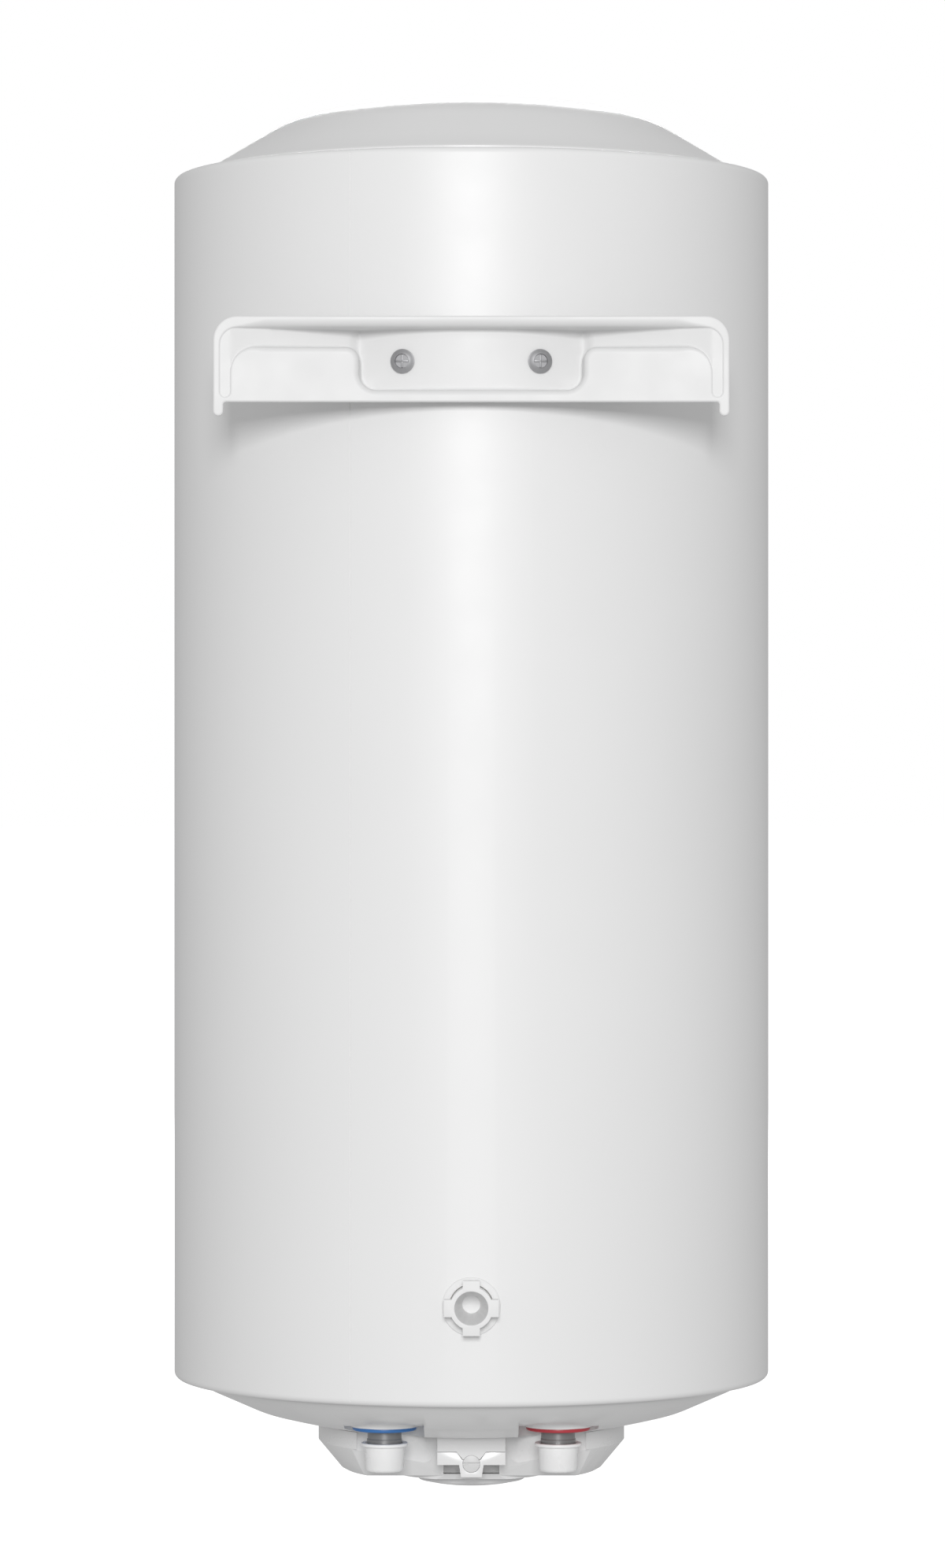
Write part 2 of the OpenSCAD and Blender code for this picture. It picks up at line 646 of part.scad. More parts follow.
module bracket_screws() color("gray") at_axis() at_screws() difference() {
    union() {
        rod_y(screw_head_r, head_y, head_y + 2.2);
        rod_y(5.9, head_y + 2.1, head_y + 3.4);
        rod_y(3.95, 158, head_y + 0.1);
    }
    rod_y(4.2, head_y + 2.6, head_y + 5);
    for (a = [0, 90]) rotate([0, a, 0]) box(-3.6, 3.6, head_y + 0.6, head_y + 5, -0.6, 0.6);
}

module bracket_posts() color("slategray") at_axis() difference() {
    intersection() {
        for (side = [-1, 1]) translate([side * screw_gap / 2, 0, screw_z]) rod_y(9, 120, 200);
        rod(casing_r - casing_t - gap, 0, 60);
    }
    rod(tank_r + 0.02, 0, 60);
    for (side = [-1, 1]) translate([side * screw_gap / 2, 0, screw_z]) rod_y(4, 154, 200);
}

// ---------- adjustable rear spacer ----------

module spacer_seat() color("white") at_axis() difference() {
    translate([0, 0, spacer_z]) difference() {
        rod_y(17, 178, casing_r + 1.2);
        rod_y(spacer_r + 0.5, 170, 190);
    }
    translate([0, 0, spacer_z - 40]) cylinder(r = casing_r, h = 80, $fn = 720);
}

module spacer_bush() color("lightgray") at_axis() difference() {
    translate([0, 0, spacer_z]) difference() {
        rod_y(17, tank_r - 6, 184);
        rod_y(spacer_r + 0.08, tank_r - 20, 190);
    }
    rod(tank_r + 0.3, spacer_z - 40, spacer_z + 40);
    difference() {
        rod(200, spacer_z - 40, spacer_z + 40);
        rod(casing_r - casing_t - gap, spacer_z - 41, spacer_z + 41);
    }
}

module rear_spacer() color("white") translate([0, 0, spacer_z]) difference() {
    union() {
        rod_y(spacer_r, -32, 0);
        for (a = [0, 90]) rotate([0, a, 0]) box(-wing_span / 2, wing_span / 2, -6, 0, -5, 5);
    }
    rotate([-90, 0, 0]) translate([0, 0, -27]) cylinder(r1 = 5.25, r2 = 9.9, h = 27.01);
}

outer_casing();
top_cover();
bottom_cover();
foam_insulation();
tank_barrel();
tank_top_end();
tank_bottom_end();
flange_neck();
flange_gasket();
flange_plate();
flange_studs();
flange_nuts();
cold_inlet_pipe();
inlet_diffuser();
hot_outlet_pipe();
heating_element();
element_terminals();
anode_rod();
anode_nut();
sensor_pocket();
capillary_tube();
thermostat_body();
thermostat_bracket();
thermal_cutout();
reset_button();
terminal_block();
earth_stud();
live_lead();
neutral_lead();
earth_lead();
electrical_cover();
cover_screw();
pilot_lamp();
lamp_holder();
cable_gland();
temperature_knob();
knob_spindle();
cold_collar();
hot_collar();
cold_thread_cap();
hot_thread_cap();
wall_bracket();
bracket_screws();
bracket_posts();
spacer_seat();
spacer_bush();
rear_spacer();
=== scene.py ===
# A slim electric water heater for wall hanging, seen from its wall side.
import math
import bmesh
import bpy
from mathutils import Matrix, Vector
from mathutils.geometry import delaunay_2d_cdt


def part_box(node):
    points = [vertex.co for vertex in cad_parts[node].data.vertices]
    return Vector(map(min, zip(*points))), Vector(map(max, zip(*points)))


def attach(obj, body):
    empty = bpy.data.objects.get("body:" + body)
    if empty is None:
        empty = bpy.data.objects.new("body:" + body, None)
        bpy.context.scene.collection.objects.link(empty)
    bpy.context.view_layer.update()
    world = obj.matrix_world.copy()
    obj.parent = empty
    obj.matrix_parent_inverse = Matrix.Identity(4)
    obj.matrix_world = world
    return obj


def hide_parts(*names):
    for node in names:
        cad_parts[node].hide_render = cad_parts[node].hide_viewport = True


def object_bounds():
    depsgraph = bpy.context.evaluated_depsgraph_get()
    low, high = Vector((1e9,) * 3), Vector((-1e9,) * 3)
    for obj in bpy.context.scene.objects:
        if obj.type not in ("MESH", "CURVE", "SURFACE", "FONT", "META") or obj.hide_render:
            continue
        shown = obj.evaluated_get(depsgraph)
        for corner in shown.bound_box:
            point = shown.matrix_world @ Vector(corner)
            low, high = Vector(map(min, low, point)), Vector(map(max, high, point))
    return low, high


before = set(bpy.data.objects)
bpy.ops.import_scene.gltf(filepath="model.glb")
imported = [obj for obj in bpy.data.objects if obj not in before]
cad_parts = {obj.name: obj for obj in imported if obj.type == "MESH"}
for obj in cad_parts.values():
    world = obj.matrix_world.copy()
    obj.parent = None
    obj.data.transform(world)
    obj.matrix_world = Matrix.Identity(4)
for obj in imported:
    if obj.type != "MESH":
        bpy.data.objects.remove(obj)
cad_low, cad_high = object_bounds()
scene = bpy.context.scene

# ---- Where the heater is seen from ----
# The camera stands square behind the heater, level with the middle of its height,
# far enough back for a long lens.
camera_data = bpy.data.cameras.new("camera")
camera_data.lens = 128.45
camera_data.clip_start = 0.05
camera_data.clip_end = 200.0
camera = bpy.data.objects.new("camera", camera_data)
camera.location = (-0.0007, 3.2475, -0.2255)
camera.rotation_euler = (math.radians(90), 0, math.radians(180))
scene.collection.objects.link(camera)
scene.camera = camera
scene.view_settings.view_transform = "Standard"
scene.view_settings.look = "None"

# ---- Studio ----
# A wide pale floor well below the heater, an even pale surround, and one large soft
# lamp behind the camera with a weaker one on the far side for the front of the heater.
FLOOR_DROP = 0.06
floor_mesh = bpy.data.meshes.new("floor")
floor_z = cad_low.z - FLOOR_DROP
floor_half = 60.0
floor_mesh.from_pydata(
    [(-floor_half, -floor_half, floor_z), (floor_half, -floor_half, floor_z),
     (floor_half, floor_half, floor_z), (-floor_half, floor_half, floor_z)],
    [], [(0, 1, 2, 3)])
floor = bpy.data.objects.new("floor", floor_mesh)
scene.collection.objects.link(floor)
floor_paint = bpy.data.materials.new("pale_floor")
floor_paint.use_nodes = True
floor_nodes = floor_paint.node_tree.nodes
floor_shader = floor_nodes["Principled BSDF"]
floor_shader.inputs["Base Color"].default_value = (0.8, 0.8, 0.8, 1)
floor_shader.inputs["Roughness"].default_value = 0.9
floor_shader.inputs["Emission Color"].default_value = (1, 1, 1, 1)
floor_shader.inputs["Emission Strength"].default_value = 0.62
see_through = floor_nodes.new("ShaderNodeBsdfTransparent")
which_side = floor_nodes.new("ShaderNodeNewGeometry")
floor_mix = floor_nodes.new("ShaderNodeMixShader")
floor_links = floor_paint.node_tree.links
floor_links.new(which_side.outputs["Backfacing"], floor_mix.inputs[0])
floor_links.new(floor_shader.outputs[0], floor_mix.inputs[1])
floor_links.new(see_through.outputs[0], floor_mix.inputs[2])
floor_links.new(floor_mix.outputs[0], floor_nodes["Material Output"].inputs["Surface"])
floor_mesh.materials.append(floor_paint)
floor.visible_diffuse = False
floor.visible_glossy = False

world = bpy.data.worlds.new("studio")
scene.world = world
world.use_nodes = True
world_nodes = world.node_tree.nodes
world_links = world.node_tree.links
around = world_nodes["Background"]
around.inputs["Color"].default_value = (0.49, 0.49, 0.49, 1)
behind = world_nodes.new("ShaderNodeBackground")
behind.inputs["Color"].default_value = (1, 1, 1, 1)
ray_kind = world_nodes.new("ShaderNodeLightPath")
world_mix = world_nodes.new("ShaderNodeMixShader")
world_links.new(ray_kind.outputs["Is Camera Ray"], world_mix.inputs[0])
world_links.new(around.outputs[0], world_mix.inputs[1])
world_links.new(behind.outputs[0], world_mix.inputs[2])
world_links.new(world_mix.outputs[0], world_nodes["World Output"].inputs["Surface"])


def soft_lamp(name, place, target, width, height, watts):
    """A rectangular studio lamp at place, turned to face target."""
    data = bpy.data.lights.new(name, "AREA")
    data.shape = "RECTANGLE"
    data.size = width
    data.size_y = height
    data.energy = watts
    lamp = bpy.data.objects.new(name, data)
    lamp.location = place
    lamp.rotation_euler = (Vector(target) - Vector(place)).to_track_quat("-Z", "Y").to_euler()
    scene.collection.objects.link(lamp)


middle = (cad_low + cad_high) / 2
soft_lamp("key_lamp", (0, 12.0, 2.45), middle, 2.4, 3.0, 830)
soft_lamp("front_lamp", (0, -4.5, 1.3), middle, 0.9, 1.6, 55)

# ---- Inner tank ----
# Welded from a rolled steel barrel and two dished ends, then enamelled inside; a short
# neck at the bottom carries the flange. It is grey, slightly scaled mill steel outside.


def finish(name, colour, roughness, grain, relief, metal=0.0, mottle=0.04, gloss_spread=0.06):
    """A surface with clouds of colour and gloss, and a fine relief of the given grain (metres)."""
    material = bpy.data.materials.new(name)
    material.use_nodes = True
    nodes, links = material.node_tree.nodes, material.node_tree.links
    shader = nodes["Principled BSDF"]
    shader.inputs["Metallic"].default_value = metal
    place = nodes.new("ShaderNodeTexCoord")
    clouds = nodes.new("ShaderNodeTexNoise")
    clouds.inputs["Scale"].default_value = 9.0
    clouds.inputs["Detail"].default_value = 4.0
    links.new(place.outputs["Object"], clouds.inputs["Vector"])
    tone = nodes.new("ShaderNodeValToRGB")
    tone.color_ramp.elements[0].position = 0.3
    tone.color_ramp.elements[1].position = 0.7
    tone.color_ramp.elements[0].color = (*[c * (1 - mottle) for c in colour], 1)
    tone.color_ramp.elements[1].color = (*[min(c * (1 + mottle * 0.4), 1) for c in colour], 1)
    links.new(clouds.outputs["Fac"], tone.inputs["Fac"])
    links.new(tone.outputs["Color"], shader.inputs["Base Color"])
    smears = nodes.new("ShaderNodeTexNoise")
    smears.inputs["Scale"].default_value = 35.0
    smears.inputs["Detail"].default_value = 3.0
    links.new(place.outputs["Object"], smears.inputs["Vector"])
    gloss = nodes.new("ShaderNodeMapRange")
    gloss.inputs["From Min"].default_value = 0.3
    gloss.inputs["From Max"].default_value = 0.7
    gloss.inputs["To Min"].default_value = max(roughness - gloss_spread, 0.02)
    gloss.inputs["To Max"].default_value = roughness + gloss_spread
    links.new(smears.outputs["Fac"], gloss.inputs["Value"])
    links.new(gloss.outputs["Result"], shader.inputs["Roughness"])
    skin = nodes.new("ShaderNodeTexNoise")
    skin.inputs["Scale"].default_value = 1.0 / grain
    skin.inputs["Detail"].default_value = 2.0
    links.new(place.outputs["Object"], skin.inputs["Vector"])
    bump = nodes.new("ShaderNodeBump")
    bump.inputs["Strength"].default_value = 0.6
    bump.inputs["Distance"].default_value = relief
    links.new(skin.outputs["Fac"], bump.inputs["Height"])
    links.new(bump.outputs["Normal"], shader.inputs["Normal"])
    return material


def coat_nodes(material, *names):
    """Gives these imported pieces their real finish."""
    for name in names:
        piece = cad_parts[name]
        piece.data.materials.clear()
        piece.data.materials.append(material)


mill_steel = finish("mill_steel", (0.20, 0.22, 0.25), 0.5, 0.0015, 0.00006, metal=0.7, mottle=0.25)
coat_nodes(mill_steel, "tank_barrel", "tank_top_end", "tank_bottom_end", "flange_neck")

# ---- Flange ----
# A round steel plate closes the neck on a black rubber gasket. Six zinc-plated studs
# and nuts hold it.
zinc = finish("zinc_plate", (0.62, 0.63, 0.62), 0.32, 0.0006, 0.00002, metal=1.0, mottle=0.15)
black_rubber = finish("black_rubber", (0.025, 0.025, 0.027), 0.75, 0.0004, 0.00003)
coat_nodes(zinc, "flange_plate", "flange_studs", "flange_nuts", "anode_nut", "thermostat_bracket")
coat_nodes(black_rubber, "flange_gasket")

# ---- Inside the tank ----
# Two hairpin heating elements, the magnesium rod that corrodes in place of the tank, the
# tube that holds the temperature sensor, and the moulded diffuser on the cold pipe.
element_skin = finish("element_sheath", (0.45, 0.38, 0.33), 0.45, 0.0007, 0.00003, metal=0.9, mottle=0.2)
magnesium = finish("cast_magnesium", (0.55, 0.55, 0.54), 0.6, 0.001, 0.00008, metal=0.8, mottle=0.15)
natural_plastic = finish("natural_plastic", (0.78, 0.76, 0.70), 0.45, 0.001, 0.00002)
copper = finish("copper_tube", (0.72, 0.36, 0.24), 0.3, 0.0008, 0.00002, metal=1.0, mottle=0.12)
brass = finish("brass_terminals", (0.74, 0.57, 0.27), 0.3, 0.0005, 0.00002, metal=1.0, mottle=0.1)
coat_nodes(element_skin, "heating_element", "sensor_pocket")
coat_nodes(magnesium, "anode_rod")
coat_nodes(natural_plastic, "inlet_diffuser")
coat_nodes(copper, "capillary_tube")
coat_nodes(brass, "element_terminals", "earth_stud")

# ---- Switch gear ----
# Thermostat, safety cut-out with its red reset button, terminal block and three leads
# sit under the flange, inside the electrical cover.
switch_case = finish("switch_case", (0.74, 0.72, 0.66), 0.5, 0.0005, 0.00002)
reset_red = finish("reset_red", (0.62, 0.03, 0.03), 0.35, 0.0005, 0.00001)
lead_brown = finish("lead_brown", (0.16, 0.07, 0.035), 0.45, 0.0006, 0.00002)
lead_blue = finish("lead_blue", (0.03, 0.12, 0.42), 0.45, 0.0006, 0.00002)
lead_green = finish("lead_green", (0.32, 0.46, 0.04), 0.45, 0.0006, 0.00002)
coat_nodes(switch_case, "thermostat_body", "thermal_cutout", "terminal_block", "lamp_holder")
coat_nodes(reset_red, "reset_button")
coat_nodes(lead_brown, "live_lead")
coat_nodes(lead_blue, "neutral_lead")
coat_nodes(lead_green, "earth_lead")

# ---- Foam ----
# Polyurethane foam poured between tank and casing, buff coloured, with open cells where
# it was trimmed.
foam_skin = finish("cut_foam", (0.74, 0.62, 0.36), 0.9, 0.0012, 0.0004, mottle=0.15)
coat_nodes(foam_skin, "foam_insulation")

# ---- Casing ----
# A painted steel sheet rolled into a tube, joined along one upright seam and curled in
# at both ends. Stove enamel, very smooth, with a faint orange-peel skin.
casing_low, casing_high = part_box("outer_casing")
axis_y = (casing_low.y + casing_high.y) / 2
casing_r = (casing_high.x - casing_low.x) / 2
CURL = 0.004
SHEET = 0.0008
LIP_R = 0.1651
TURNS = 288
CREASE = 32


def arc(centre, radius, start, end, steps):
    """Points along a round corner, angles in degrees."""
    return [(centre[0] + radius * math.cos(math.radians(start + (end - start) * i / steps)),
             centre[1] + radius * math.sin(math.radians(start + (end - start) * i / steps)))
            for i in range(steps + 1)]


def turned(outline, centre, turns, reach=None):
    """A solid turned round an upright line, from its cut face as (radius, height) points.
    turns is a number of even steps or a list of angles, and reach(angle, radius, height)
    may push a point in or out."""
    angles = turns if isinstance(turns, list) else [2 * math.pi * k / turns for k in range(turns)]
    work = bmesh.new()
    rings = []
    for radius, height in outline:
        if radius < 1e-7:
            rings.append([work.verts.new((centre[0], centre[1], height))])
            continue
        ring = []
        for angle in angles:
            r = reach(angle, radius, height) if reach else radius
            x = centre[0] + r * math.sin(angle)
            y = centre[1] + r * math.cos(angle)
            ring.append(work.verts.new((x, y, height)))
        rings.append(ring)
    for here, there in zip(rings, rings[1:] + rings[:1]):
        if len(here) == 1 and len(there) == 1:
            continue
        for k in range(len(angles)):
            n = (k + 1) % len(angles)
            corners = [here[k % len(here)], here[n % len(here)],
                       there[n % len(there)], there[k % len(there)]]
            work.faces.new(list(dict.fromkeys(corners)))
    return work


def piece(name, work, material, slot, body, *nodes, crease=CREASE):
    """Makes the finished mesh an object that rides on its body and stands for its nodes."""
    bmesh.ops.recalc_face_normals(work, faces=work.faces)
    data = bpy.data.meshes.new(name)
    work.to_mesh(data)
    work.free()
    data.shade_smooth()
    data.set_sharp_from_angle(angle=math.radians(crease))
    data.materials.append(material)
    made = bpy.data.objects.new(name, data)
    scene.collection.objects.link(made)
    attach(made, body)
    if nodes:
        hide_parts(*nodes)
    return made


def drilled(made, *holes):
    """Cuts these throwaway solids out of a piece."""
    for hole in holes:
        bmesh.ops.recalc_face_normals(hole, faces=hole.faces)
        data = bpy.data.meshes.new("hole")
        hole.to_mesh(data)
        hole.free()
        cutter = bpy.data.objects.new("hole", data)
        scene.collection.objects.link(cutter)
        cut = made.modifiers.new("cut", "BOOLEAN")
        cut.operation = "DIFFERENCE"
        cut.solver = "EXACT"
        cut.object = cutter
        depsgraph = bpy.context.evaluated_depsgraph_get()
        applied = bpy.data.meshes.new_from_object(made.evaluated_get(depsgraph))
        made.modifiers.clear()
        made.data = applied
        bpy.data.objects.remove(cutter)
    made.data.shade_smooth()
    made.data.set_sharp_from_angle(angle=math.radians(CREASE))


def lying_rod(radius, place, y0, y1, steps=64):
    """A round bar along the wall direction, at place = (x, z)."""
    work = turned([(0, y0), (radius, y0), (radius, y1), (0, y1)], (0, 0), steps)
    work.transform(Matrix.Translation((place[0], 0, place[1]))
                   @ Matrix.Rotation(math.radians(-90), 4, "X"))
    return work


SEAM_ANGLE = math.radians(22.9)
SEAM_HALF = math.radians(0.15)
SEAM_DIP = 0.0004
SEAM_DEPTH = 0.0005


def with_seam(angle, radius, height):
    """The upright seam is a hair-fine dip where the two edges of the sheet meet."""
    off = abs((angle - SEAM_ANGLE + math.pi) % (2 * math.pi) - math.pi)
    if radius > casing_r - SEAM_DEPTH and off < SEAM_HALF:
        return radius - SEAM_DIP
    return radius


def casing_outline():
    """Cut face of the sheet: the upright wall, and a quarter curl and a lip at each end."""
    low, high, r = casing_low.z, casing_high.z, casing_r - CURL
    inner = CURL - SHEET
    outside = arc((r, high - CURL), CURL, 90, 0, 12) + arc((r, low + CURL), CURL, 0, -90, 12)
    inside = arc((r, low + CURL), inner, -90, 0, 8) + arc((r, high - CURL), inner, 0, 90, 8)
    low_lip = [(LIP_R, low), (LIP_R, low + SHEET)]
    return [(LIP_R, high)] + outside + low_lip + inside + [(LIP_R, high - SHEET)]


def seam_angles():
    """Even steps round the casing, with closely set extra ones beside its seam."""
    step = 2 * math.pi / TURNS
    angles = [2 * math.pi * k / TURNS for k in range(TURNS)]
    angles = [a for a in angles if abs(a - SEAM_ANGLE) > step * 0.6]
    angles += [SEAM_ANGLE + SEAM_HALF * f for f in (-2.5, -1.05, -0.5, 0.5, 1.05, 2.5)]
    return sorted(angles)


enamel = finish("white_enamel", (0.80, 0.80, 0.80), 0.42, 0.0022, 0.000006,
                mottle=0.008, gloss_spread=0.02)
casing = piece("casing", turned(casing_outline(), (0, axis_y), seam_angles(), with_seam), enamel,
               "white_enamel", "root", "outer_casing")
SCREW_X = 0.040
SCREW_Z = 0.021
SPACER_Z = -0.530
SCREW_HOLE_R = 0.0046
BUSH_HOLE_R = 0.0136
DRILL_FROM = axis_y + 0.12
DRILL_TO = 0.01
drilled(casing,
        lying_rod(SCREW_HOLE_R, (-SCREW_X, SCREW_Z), DRILL_FROM, DRILL_TO),
        lying_rod(SCREW_HOLE_R, (SCREW_X, SCREW_Z), DRILL_FROM, DRILL_TO),
        lying_rod(BUSH_HOLE_R, (0, SPACER_Z), DRILL_FROM, DRILL_TO))

# ---- Top cover ----
# A moulded plastic dome, set into the curled upper edge of the casing, with the small
# flat disc that its moulding gate leaves on the crown.


def dome(edge, slope, apex, crown_r, blend_r):
    """Half of a dome's outline: straight flank, round blend, shallow crown."""
    s = math.radians(slope)
    along = Vector((-math.cos(s), math.sin(s)))
    inward = Vector((-math.sin(s), -math.cos(s)))
    crown = Vector((0, apex - crown_r))
    p = Vector(edge) + blend_r * inward - crown
    half_b = p.dot(along)
    root = math.sqrt(half_b ** 2 - (p.length_squared - (crown_r - blend_r) ** 2))
    t = -half_b - root if -half_b - root > 0 else -half_b + root
    blend = Vector(edge) + t * along + blend_r * inward
    turn = math.degrees(math.atan2(blend.y - crown.y, blend.x))
    flank = [tuple(Vector(edge).lerp(blend - blend_r * inward, i / 3)) for i in range(3)]
    return flank + arc(blend, blend_r, 90 - slope, turn, 12) + arc(crown, crown_r, turn, 90, 26)[1:]


def inset(outline, depth):
    """The same open line moved inwards (down and towards the axis) by a wall thickness."""
    moved = []
    for i, point in enumerate(outline):
        a = Vector(outline[max(i - 1, 0)])
        b = Vector(outline[min(i + 1, len(outline) - 1)])
        run = (b - a).normalized()
        moved.append((max(point[0] + run.y * -depth, 0), point[1] - abs(run.x) * depth))
    moved[-1] = (0, outline[-1][1] - depth)
    return moved


NECK_R = 0.165
FOOT_R = 0.1785
FOOT_LOW = -0.0034
FOOT_TOP = -0.0009
DOME_WALL = 0.0025
GATE_R = 0.00775
GATE_RISE = 0.0007
GATE_CLEAR = 0.0085
top_curve = dome((0.1615, 0.00427), 31.13, 0.0464, 0.5228, 0.087)
apex = top_curve[-1][1]
top_skin = [(FOOT_R, FOOT_LOW), (FOOT_R, FOOT_TOP), (NECK_R, FOOT_TOP), (NECK_R, 0.0022)]
top_skin += [(NECK_R - 0.0004, 0.0027), (NECK_R - 0.0012, 0.0032)]
top_skin += [p for p in top_curve if p[0] > GATE_CLEAR]
top_skin += [(GATE_R + 0.0004, apex), (GATE_R, apex + 0.0004), (GATE_R - 0.00055, apex + GATE_RISE),
             (0, apex + GATE_RISE)]
under = inset([p for p in top_curve if p[0] > GATE_CLEAR] + [(0, apex)], DOME_WALL)
foot_end = (under[0][0] + 0.0009, FOOT_LOW)
top_outline = [(r, casing_high.z + h) for r, h in top_skin + under[::-1] + [foot_end]]
white_plastic = finish("white_plastic", (0.79, 0.79, 0.79), 0.30, 0.0012, 0.0000025,
                       mottle=0.010, gloss_spread=0.015)
piece("top_dome", turned(top_outline, (0, axis_y), TURNS), white_plastic, "white_plastic", "root",
      "top_cover")

# ---- Bottom cover ----
# The lower dome, moulded with a flat pad round each pipe, the upper half of the screw
# block and its pointed nib, and a round opening for the flange.


SHARP_FROM = 28
SAME_FACE = 0.8
SAME_POINT = 1e-5


def softened(node, width, segments=2):
    """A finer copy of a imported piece: flat faces made whole, sharp edges broken."""
    work = bmesh.new()
    work.from_mesh(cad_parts[node].data)
    bmesh.ops.remove_doubles(work, verts=work.verts, dist=SAME_POINT)
    bmesh.ops.dissolve_limit(work, angle_limit=math.radians(SAME_FACE), verts=work.verts,
                             edges=work.edges, delimit={"NORMAL"})
    sharp = [e for e in work.edges if len(e.link_faces) == 2
             and e.calc_face_angle(0) > math.radians(SHARP_FROM)]
    bmesh.ops.bevel(work, geom=sharp, offset=width, offset_type="OFFSET", segments=segments,
                    profile=0.5, affect="EDGES", clamp_overlap=True)
    return work


piece("bottom_dome", softened("bottom_cover", 0.0005), white_plastic, "white_plastic", "root",
      "bottom_cover")

# ---- Water pipes ----
# Half-inch steel pipes welded through the tank's lower end, plain above and with a
# parallel thread at the open end. Dark oxide skin, a little brighter on the thread.
PITCH = 0.001814
THREAD_DEPTH = 0.0009
THREAD_LENGTH = 0.018
THREAD_STEPS = 96
BODY_STEP = 0.0003
END_BEVEL = 0.0009
BORE_R = 0.0081


def threaded_pipe(node):
    """A pipe with a cut thread on its lower end and a small bevel on its rim."""
    low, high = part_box(node)
    x = (low.x + high.x) / 2
    y = (low.y + high.y) / 2
    thread_r = (high.x - low.x) / 2
    body_r = thread_r - BODY_STEP
    thread_top = low.z + THREAD_LENGTH

    def cut(angle, radius, height):
        if radius < BORE_R + 0.0006 or height > thread_top:
            return radius
        phase = ((height - low.z) / PITCH - angle / (2 * math.pi)) % 1
        valley = 1 - abs(2 * phase - 1)
        depth = THREAD_DEPTH * min(max(valley * 1.35 - 0.15, 0), 1)
        runout = min(max((thread_top - 0.0028 - height) / 0.002, 0), 1)
        return min(radius, thread_r - depth * runout)

    first = low.z + END_BEVEL
    outline = [(BORE_R, low.z), (thread_r - 0.0011, low.z), (thread_r, first)]
    outline += [(thread_r, first + (thread_top - first) * i / THREAD_STEPS)
                for i in range(1, THREAD_STEPS + 1)]
    outline += [(body_r, thread_top + BODY_STEP), (body_r, high.z), (BORE_R, high.z)]
    return turned(outline, (x, y), 72, cut)


pipe_steel = finish("pipe_steel", (0.27, 0.27, 0.272), 0.34, 0.0008, 0.00002, metal=0.55, mottle=0.12)
for name, node in (("cold_pipe", "cold_inlet_pipe"), ("hot_pipe", "hot_outlet_pipe")):
    piece(name, threaded_pipe(node), pipe_steel, "pipe_steel", "root", node)

# ---- Pipe collars ----
# A flat moulded washer on each pipe, pushed up against its pad: blue on the cold pipe,
# red on the hot one. Their lower rim is rounded.


COLLAR_BORE = 0.01075
COLLAR_ROUND = 0.0009
COLLAR_EDGE = 0.0003


def collar(node):
    """A washer turned to the size of its node, rounded most at its outer lower rim."""
    low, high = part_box(node)
    r = (high.x - low.x) / 2
    outline = [(COLLAR_BORE, high.z), (COLLAR_BORE, low.z + COLLAR_EDGE),
               (COLLAR_BORE + COLLAR_EDGE, low.z)]
    outline += arc((r - COLLAR_ROUND, low.z + COLLAR_ROUND), COLLAR_ROUND, -90, 0, 6)
    outline += arc((r - COLLAR_EDGE, high.z - COLLAR_EDGE), COLLAR_EDGE, 0, 90, 3)
    return turned(outline, ((low.x + high.x) / 2, (low.y + high.y) / 2), 96)


collar_blue = finish("collar_blue", (0.035, 0.16, 0.44), 0.32, 0.0009, 0.00001, mottle=0.04)
collar_red = finish("collar_red", (0.45, 0.035, 0.05), 0.32, 0.0009, 0.00001, mottle=0.04)
piece("blue_collar", collar("cold_collar"), collar_blue, "collar_blue", "root", "cold_collar")
piece("red_collar", collar("hot_collar"), collar_red, "collar_red", "root", "hot_collar")

# ---- Electrical cover ----
# A moulded cup under the lower dome, flat and hollowed at the back to clear the pipes,
# with the lower half of the screw block. One screw holds it from behind.
cover_plastic = finish("cover_plastic", (0.79, 0.79, 0.79), 0.28, 0.0010, 0.000010,
                       mottle=0.015, gloss_spread=0.04)
piece("cover_shell", softened("electrical_cover", 0.0007, 3), cover_plastic, "cover_plastic", "root",
      "electrical_cover")
painted_screw = finish("painted_screw", (0.66, 0.66, 0.66), 0.42, 0.0004, 0.00001)
piece("slotted_screw", softened("cover_screw", 0.00025), painted_screw, "screw_steel", "root",
      "cover_screw")

# ---- Lamp and cable gland ----
# An amber lens for the heating lamp, pushed into its holder, and the grey gland that the
# mains lead is fed through on installation.
amber = finish("amber_lens", (0.75, 0.16, 0.02), 0.12, 0.002, 0.00002, mottle=0.05)
lens_inputs = amber.node_tree.nodes["Principled BSDF"].inputs
lens_inputs["Transmission Weight"].default_value = 0.45
lens_inputs["IOR"].default_value = 1.49
gland_grey = finish("gland_grey", (0.42, 0.43, 0.44), 0.42, 0.0006, 0.00002)
piece("lamp_lens", softened("pilot_lamp", 0.0002), amber, "lamp_amber", "root", "pilot_lamp")
piece("gland", softened("cable_gland", 0.0004), gland_grey, "gland_plastic", "root", "cable_gland")

# ---- Temperature knob ----
# A low moulded knob with a finger bar across it, on a plated spindle that runs up into
# the thermostat.
knob_plastic = finish("knob_plastic", (0.74, 0.74, 0.745), 0.26, 0.0010, 0.000010, mottle=0.015)
piece("knob", softened("temperature_knob", 0.0003), knob_plastic, "knob_plastic", "temperature_knob",
      "temperature_knob")
coat_nodes(zinc, "knob_spindle")

# ---- Thread caps ----
# Soft white polythene cups pushed over the threads for transport, with a rolled rim and
# a short spigot that grips the bore.


CAP_BASE = 0.0012
SPIGOT_OUT = 0.0080
SPIGOT_IN = 0.0070


